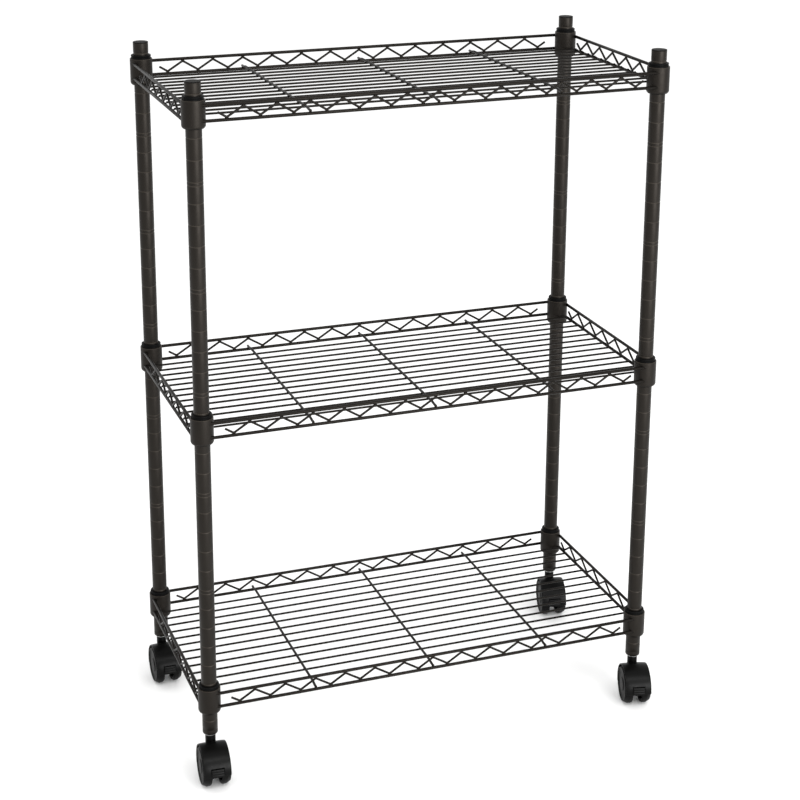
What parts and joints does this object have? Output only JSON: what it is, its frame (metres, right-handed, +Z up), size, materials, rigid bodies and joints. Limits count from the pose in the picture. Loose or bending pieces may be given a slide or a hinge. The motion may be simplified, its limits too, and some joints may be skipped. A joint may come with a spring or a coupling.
{
  "type": "wire shelving rack",
  "caption": "Free-standing rack of welded wire shelves with zigzag rims on grooved round posts, rolling on swivel casters with foot brakes.",
  "frame": {"origin": "on the floor, under the middle of the whole rack with its casters at rest; the middle of the four posts is 16.4 mm behind it, because the casters stand forward", "axes": "+X along the shelves towards the right-hand posts, +Y towards the back, +Z up"},
  "size_m": [0.6226, 0.3256, 0.881],
  "materials": {
    "powder_steel": "dark bronze-black satin powder coat",
    "powder_wire": "dark bronze-black satin powder coat on drawn wire",
    "cap_plastic": "moulded black",
    "sleeve_plastic": "moulded black, fine grain",
    "caster_plastic": "moulded black nylon",
    "wheel_plastic": "moulded black nylon, tread scuffed",
    "zinc_steel": "zinc plated"
  },
  "bodies": {
    "rack": {"post_front_left": "powder_steel", "post_front_right": "powder_steel", "post_back_left": "powder_steel", "post_back_right": "powder_steel", "post_caps": "cap_plastic", "foot_inserts": "powder_steel", "bottom_collar_front_left": "powder_steel", "bottom_collar_front_right": "powder_steel", "bottom_collar_back_left": "powder_steel", "bottom_collar_back_right": "powder_steel", "bottom_sleeves": "sleeve_plastic", "bottom_upper_rim": "powder_wire", "bottom_lower_rim": "powder_wire", "bottom_truss_wires": "powder_wire", "bottom_deck_wires": "powder_wire", "bottom_cross_wires": "powder_wire", "middle_collar_front_left": "powder_steel", "middle_collar_front_right": "powder_steel", "middle_collar_back_left": "powder_steel", "middle_collar_back_right": "powder_steel", "middle_sleeves": "sleeve_plastic", "middle_upper_rim": "powder_wire", "middle_lower_rim": "powder_wire", "middle_truss_wires": "powder_wire", "middle_deck_wires": "powder_wire", "middle_cross_wires": "powder_wire", "top_collar_front_left": "powder_steel", "top_collar_front_right": "powder_steel", "top_collar_back_left": "powder_steel", "top_collar_back_right": "powder_steel", "top_sleeves": "sleeve_plastic", "top_upper_rim": "powder_wire", "top_lower_rim": "powder_wire", "top_truss_wires": "powder_wire", "top_deck_wires": "powder_wire", "top_cross_wires": "powder_wire", "caster_stems": "zinc_steel", "stem_washers": "zinc_steel"},
    "caster_front_left": {"caster_hood_front_left": "caster_plastic", "axle_front_left": "zinc_steel"},
    "left_wheel_front_left": {"wheel_front_left_left": "wheel_plastic"},
    "right_wheel_front_left": {"wheel_front_left_right": "wheel_plastic"},
    "brake_front_left": {"brake_tab_front_left": "caster_plastic"},
    "caster_front_right": {"caster_hood_front_right": "caster_plastic", "axle_front_right": "zinc_steel"},
    "left_wheel_front_right": {"wheel_front_right_left": "wheel_plastic"},
    "right_wheel_front_right": {"wheel_front_right_right": "wheel_plastic"},
    "brake_front_right": {"brake_tab_front_right": "caster_plastic"},
    "caster_back_left": {"caster_hood_back_left": "caster_plastic", "axle_back_left": "zinc_steel"},
    "left_wheel_back_left": {"wheel_back_left_left": "wheel_plastic"},
    "right_wheel_back_left": {"wheel_back_left_right": "wheel_plastic"},
    "brake_back_left": {"brake_tab_back_left": "caster_plastic"},
    "caster_back_right": {"caster_hood_back_right": "caster_plastic", "axle_back_right": "zinc_steel"},
    "left_wheel_back_right": {"wheel_back_right_left": "wheel_plastic"},
    "right_wheel_back_right": {"wheel_back_right_right": "wheel_plastic"},
    "brake_back_right": {"brake_tab_back_right": "caster_plastic"}
  },
  "joints": [
    {"name": "swivel_front_left", "type": "hinge", "parent": "rack", "child": "caster_front_left", "pos_m": [-0.292, -0.1156, 0.05], "axis": [0, 0, 1], "continuous": true},
    {"name": "roll_left_front_left", "type": "hinge", "parent": "caster_front_left", "child": "left_wheel_front_left", "pos_m": [-0.29289, -0.13258, 0.025], "axis": [0.9986, -0.0523, 0], "continuous": true},
    {"name": "roll_right_front_left", "type": "hinge", "parent": "caster_front_left", "child": "right_wheel_front_left", "pos_m": [-0.29289, -0.13258, 0.025], "axis": [0.9986, -0.0523, 0], "continuous": true},
    {"name": "brake_press_front_left", "type": "hinge", "parent": "caster_front_left", "child": "brake_front_left", "pos_m": [-0.29389, -0.15168, 0.03085], "axis": [0.9986, -0.0523, 0], "range_deg": [0, 9]},
    {"name": "swivel_front_right", "type": "hinge", "parent": "rack", "child": "caster_front_right", "pos_m": [0.292, -0.1156, 0.05], "axis": [0, 0, 1], "continuous": true},
    {"name": "roll_left_front_right", "type": "hinge", "parent": "caster_front_right", "child": "left_wheel_front_right", "pos_m": [0.28789, -0.13209, 0.025], "axis": [0.9703, -0.2419, 0], "continuous": true},
    {"name": "roll_right_front_right", "type": "hinge", "parent": "caster_front_right", "child": "right_wheel_front_right", "pos_m": [0.28789, -0.13209, 0.025], "axis": [0.9703, -0.2419, 0], "continuous": true},
    {"name": "brake_press_front_right", "type": "hinge", "parent": "caster_front_right", "child": "brake_front_right", "pos_m": [0.28326, -0.15065, 0.03085], "axis": [0.9703, -0.2419, 0], "range_deg": [0, 9]},
    {"name": "swivel_back_left", "type": "hinge", "parent": "rack", "child": "caster_back_left", "pos_m": [-0.292, 0.1484, 0.05], "axis": [0, 0, 1], "continuous": true},
    {"name": "roll_left_back_left", "type": "hinge", "parent": "caster_back_left", "child": "left_wheel_back_left", "pos_m": [-0.2917, 0.1314, 0.025], "axis": [0.9998, 0.0175, 0], "continuous": true},
    {"name": "roll_right_back_left", "type": "hinge", "parent": "caster_back_left", "child": "right_wheel_back_left", "pos_m": [-0.2917, 0.1314, 0.025], "axis": [0.9998, 0.0175, 0], "continuous": true},
    {"name": "brake_press_back_left", "type": "hinge", "parent": "caster_back_left", "child": "brake_back_left", "pos_m": [-0.29137, 0.11228, 0.03085], "axis": [0.9998, 0.0175, 0], "range_deg": [0, 9]},
    {"name": "swivel_back_right", "type": "hinge", "parent": "rack", "child": "caster_back_right", "pos_m": [0.292, 0.1484, 0.05], "axis": [0, 0, 1], "continuous": true},
    {"name": "roll_left_back_right", "type": "hinge", "parent": "caster_back_right", "child": "left_wheel_back_right", "pos_m": [0.28818, 0.13184, 0.025], "axis": [0.9744, -0.225, 0], "continuous": true},
    {"name": "roll_right_back_right", "type": "hinge", "parent": "caster_back_right", "child": "right_wheel_back_right", "pos_m": [0.28818, 0.13184, 0.025], "axis": [0.9744, -0.225, 0], "continuous": true},
    {"name": "brake_press_back_right", "type": "hinge", "parent": "caster_back_right", "child": "brake_back_right", "pos_m": [0.28387, 0.1132, 0.03085], "axis": [0.9744, -0.225, 0], "range_deg": [0, 9]}
  ]
}
